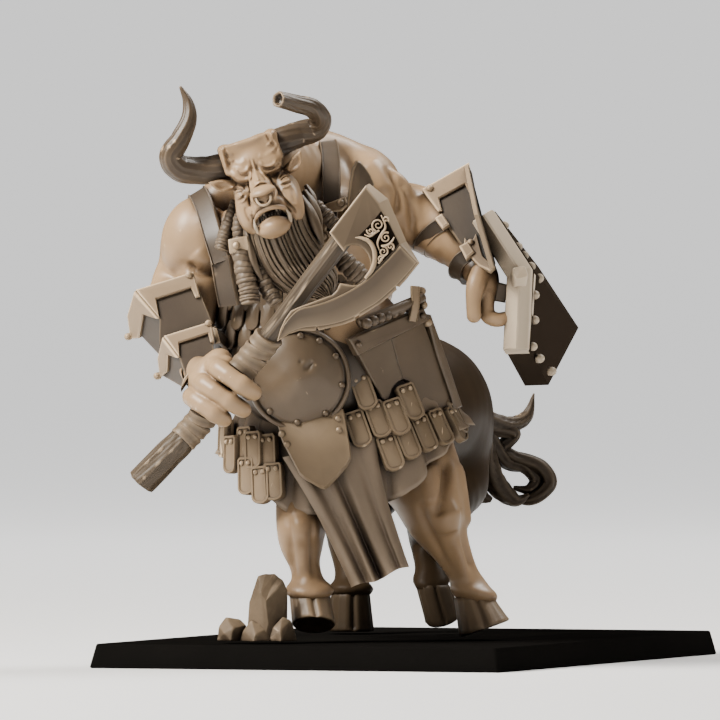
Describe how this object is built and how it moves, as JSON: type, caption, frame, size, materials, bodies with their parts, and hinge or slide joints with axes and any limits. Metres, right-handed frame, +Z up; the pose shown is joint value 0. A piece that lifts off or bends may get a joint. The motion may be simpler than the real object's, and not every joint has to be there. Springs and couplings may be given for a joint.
{
  "type": "bull-centaur tabletop miniature",
  "caption": "Cast resin miniature of a horned, bearded bull-centaur with a long axe and a folded shield, striding on a rectangular base with rocks.",
  "frame": {"origin": "centre of the base's underside", "axes": "+Z up, -Y the way the figure faces along the base's length, +X to the figure's left"},
  "size_m": [0.0503, 0.0778, 0.0668],
  "materials": {
    "figure_resin": "satin bronze-tan resin",
    "rock_resin": "matte bronze-brown resin",
    "base_plastic": "matte black"
  },
  "bodies": {
    "root": {"figure": "figure_resin", "rocks": "rock_resin", "base": "base_plastic"}
  },
  "joints": []
}
